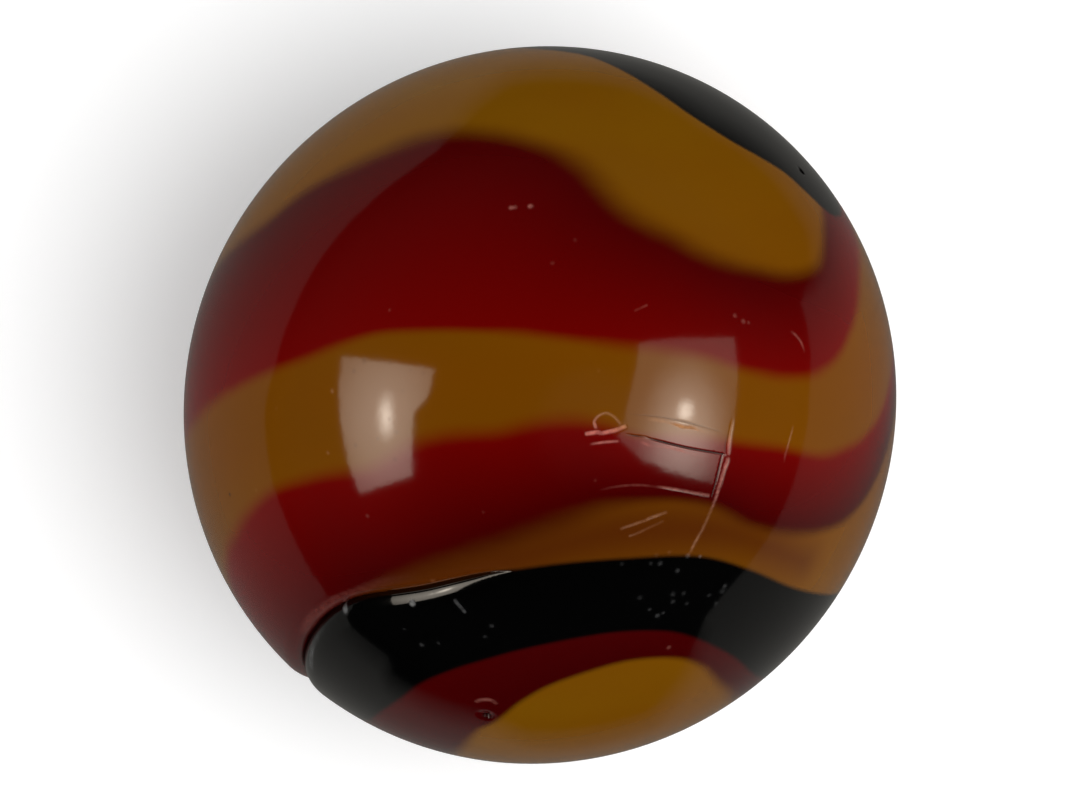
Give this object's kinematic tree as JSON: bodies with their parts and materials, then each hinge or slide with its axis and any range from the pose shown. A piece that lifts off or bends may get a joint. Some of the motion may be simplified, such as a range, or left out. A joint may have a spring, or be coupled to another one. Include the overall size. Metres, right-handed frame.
{
  "type": "glass marble",
  "caption": "Opaque swirled glass marble, a slightly out-of-round ball with a folded crease on one side and a small bruise of hairline cracks.",
  "frame": {"origin": "centre of the ball", "axes": "+Z out of the face that shows the crease and the bruise, +Y towards that face's top, +X to its right; the flat way of the ball lies in the XY plane"},
  "size_m": [0.0158, 0.016, 0.0162],
  "materials": {
    "swirl_glass": "fire-polished gloss, opaque"
  },
  "bodies": {
    "root": {"marble": "swirl_glass"}
  },
  "joints": []
}
